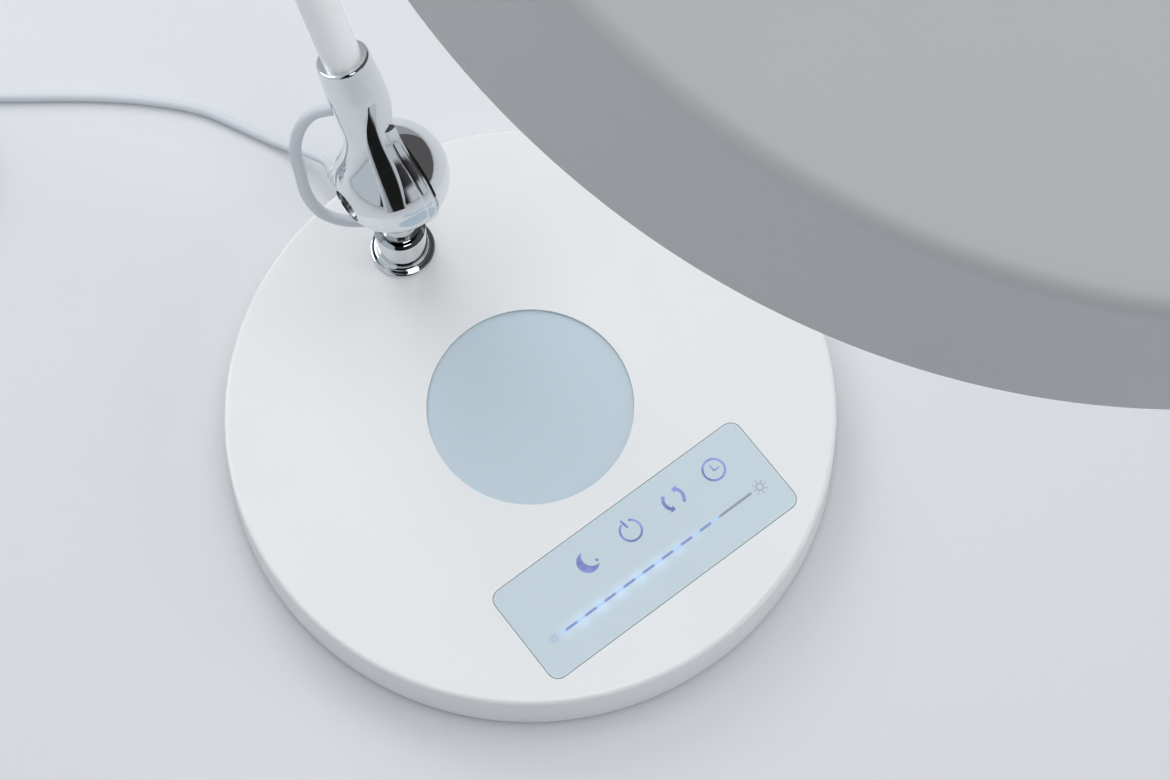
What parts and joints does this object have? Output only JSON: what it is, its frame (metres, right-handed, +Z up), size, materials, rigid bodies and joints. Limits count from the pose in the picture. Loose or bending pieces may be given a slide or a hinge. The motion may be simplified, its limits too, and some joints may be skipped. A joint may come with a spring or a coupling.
{
  "type": "led desk lamp",
  "caption": "LED desk lamp: weighted round base with a touch panel, slim white tubes on chrome ball knuckles with cable loops, and a flat drum light head",
  "frame": {"origin": "on the table, under the middle of the round base, on the face of the middle rubber pad", "axes": "+Z up, -Y to the front edge of the base where the touch panel is, +X to the right seen from the front"},
  "size_m": [0.3399, 0.5695, 0.8157],
  "materials": {
    "white_cover": "satin",
    "white_paint": "satin",
    "plate_steel": "matte",
    "weight_steel": "rough",
    "pad_rubber": "matte",
    "fastener_steel": "plain",
    "inlay_blue_grey": "satin",
    "panel_glass": "smooth",
    "board_green": "matte",
    "chrome": "polished",
    "friction_plastic": "matte",
    "cable_white": "satin",
    "head_grey": "satin",
    "sink_aluminium": "plain",
    "board_white": "matte",
    "light_yellow": "smooth",
    "driver_black": "matte",
    "opal": "satin",
    "tie_grey": "matte"
  },
  "bodies": {
    "base": {"base_cover": "white_cover", "bottom_plate": "plate_steel", "base_weight": "weight_steel", "rubber_pads": "pad_rubber", "base_screws": "fastener_steel", "round_inlay": "inlay_blue_grey", "touch_panel": "panel_glass", "touch_board": "board_green", "post_collar": "chrome", "collar_washer": "fastener_steel", "collar_nut": "fastener_steel", "strain_relief": "cable_white", "lead": "cable_white", "lead_coil": "cable_white", "coil_tie": "tie_grey", "lead_tail": "cable_white", "adapter": "white_cover"},
    "post": {"post_knuckle": "chrome", "post_clip": "fastener_steel", "base_bolt": "fastener_steel", "base_friction_washer": "friction_plastic", "base_loop": "cable_white"},
    "lower_arm": {"lower_knuckle": "chrome", "lower_tube": "white_paint", "lower_wire": "cable_white", "elbow_lower_knuckle": "chrome", "elbow_bolt": "fastener_steel", "elbow_friction_washer": "friction_plastic", "elbow_loop": "cable_white"},
    "upper_arm": {"elbow_upper_knuckle": "chrome", "upper_tube": "white_paint", "upper_wire": "cable_white", "head_upper_knuckle": "chrome", "head_bolt": "fastener_steel", "head_friction_washer": "friction_plastic", "head_loop": "cable_white"},
    "head": {"head_knuckle": "chrome", "head_nut": "fastener_steel", "head_housing": "head_grey", "heat_sink": "sink_aluminium", "light_board": "board_white", "lights": "light_yellow", "light_driver": "driver_black", "diffuser": "opal", "head_screws": "fastener_steel"}
  },
  "joints": [
    {"name": "base_swivel", "type": "hinge", "parent": "base", "child": "post", "pos_m": [0, 0.081, 0.091], "axis": [0, 0, 1], "range_deg": [-150, 150]},
    {"name": "base_hinge", "type": "hinge", "parent": "post", "child": "lower_arm", "pos_m": [0, 0.081, 0.091], "axis": [1, 0, 0], "range_deg": [-25, 45], "deforming": ["base_loop"]},
    {"name": "elbow_hinge", "type": "hinge", "parent": "lower_arm", "child": "upper_arm", "pos_m": [0, 0.23833, 0.48042], "axis": [1, 0, 0], "range_deg": [-50, 30], "deforming": ["elbow_loop"]},
    {"name": "head_hinge", "type": "hinge", "parent": "upper_arm", "child": "head", "pos_m": [0, 0.00603, 0.78869], "axis": [1, 0, 0], "range_deg": [-50, 20], "deforming": ["head_loop"]}
  ]
}
